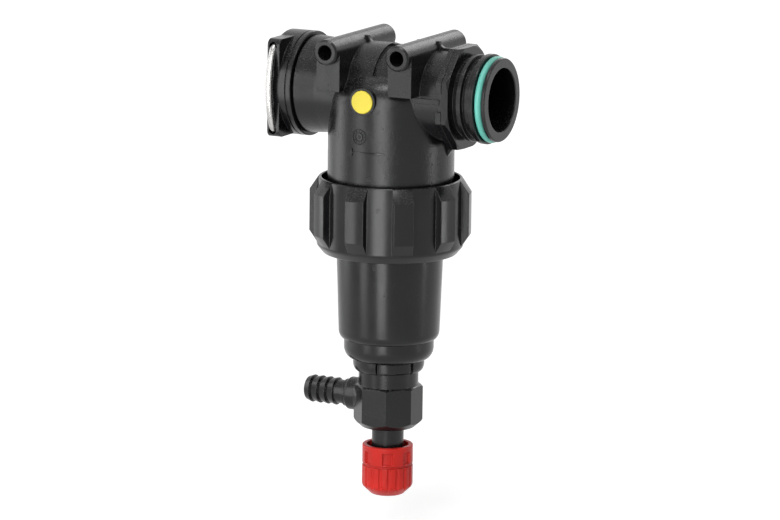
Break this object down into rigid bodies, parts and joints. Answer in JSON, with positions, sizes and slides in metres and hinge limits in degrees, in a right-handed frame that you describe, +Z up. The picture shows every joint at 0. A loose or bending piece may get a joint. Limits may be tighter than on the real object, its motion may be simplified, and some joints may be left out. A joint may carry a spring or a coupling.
{
  "type": "self-cleaning inline filter",
  "caption": "Black moulded inline filter with forked couplings, ribbed ring nut, stepped bowl, drain valve with barbed hose tail and red knob.",
  "frame": {"origin": "midway between the two bolt tubes, on the axis of the bowl", "axes": "+X along the flow to the outlet, -Y to the front with the yellow disc, +Z up"},
  "size_m": [0.1326, 0.0906, 0.2617],
  "materials": {
    "black_moulding": "semi-gloss glass-filled moulding",
    "yellow_disc": "glossy moulded disc",
    "black_rubber": "smooth seal rubber",
    "turquoise_rubber": "smooth coloured seal rubber",
    "stainless_wire": "bright drawn wire",
    "stainless_mesh": "fine woven mesh",
    "cage_moulding": "moulded cage",
    "red_moulding": "semi-gloss red moulding"
  },
  "bodies": {
    "head": {"filter_head": "black_moulding", "mesh_disc": "yellow_disc", "inlet_coupling": "black_moulding", "inlet_coupling_seal": "black_rubber", "outlet_spigot": "black_moulding", "outlet_shank_seal": "black_rubber", "outlet_oring": "turquoise_rubber"},
    "fork": {"fork_clip": "stainless_wire"},
    "bowl": {"bowl": "black_moulding", "bowl_oring": "black_rubber", "cartridge_frame": "cage_moulding", "cartridge_mesh": "stainless_mesh", "cartridge_top_seal": "black_rubber", "cartridge_foot_seal": "black_rubber", "drain_body": "black_moulding", "drain_body_oring": "black_rubber", "valve_bonnet": "black_moulding", "bonnet_oring": "black_rubber", "spindle_oring": "black_rubber"},
    "nut": {"ring_nut": "black_moulding"},
    "plunger": {"valve_plunger": "black_moulding", "plunger_seal": "black_rubber"},
    "knob": {"valve_spindle": "black_moulding", "drain_knob": "red_moulding", "knob_screw": "stainless_wire"}
  },
  "joints": [
    {"name": "fork_pull", "type": "slide", "parent": "head", "child": "fork", "axis": [0, -1, 0], "range_m": [0, 0.05]},
    {"name": "bowl_drop", "type": "slide", "parent": "head", "child": "bowl", "axis": [0, 0, -1], "range_m": [0, 0.015]},
    {"name": "nut_turn", "type": "hinge", "parent": "bowl", "child": "nut", "pos_m": [0, 0, -0.09], "axis": [0, 0, -1], "range_deg": [0, 1080]},
    {"name": "plunger_drop", "type": "slide", "parent": "bowl", "child": "plunger", "axis": [0, 0, -1], "range_m": [0, 0.006]},
    {"name": "knob_turn", "type": "hinge", "parent": "plunger", "child": "knob", "pos_m": [0, 0, -0.24], "axis": [0, 0, -1], "range_deg": [0, 1080]}
  ],
  "couplings": [
    {"joint": "bowl_drop", "follows": "nut_turn", "m_per_rad": 0.00079577},
    {"joint": "plunger_drop", "follows": "knob_turn", "m_per_rad": 0.00031831}
  ]
}
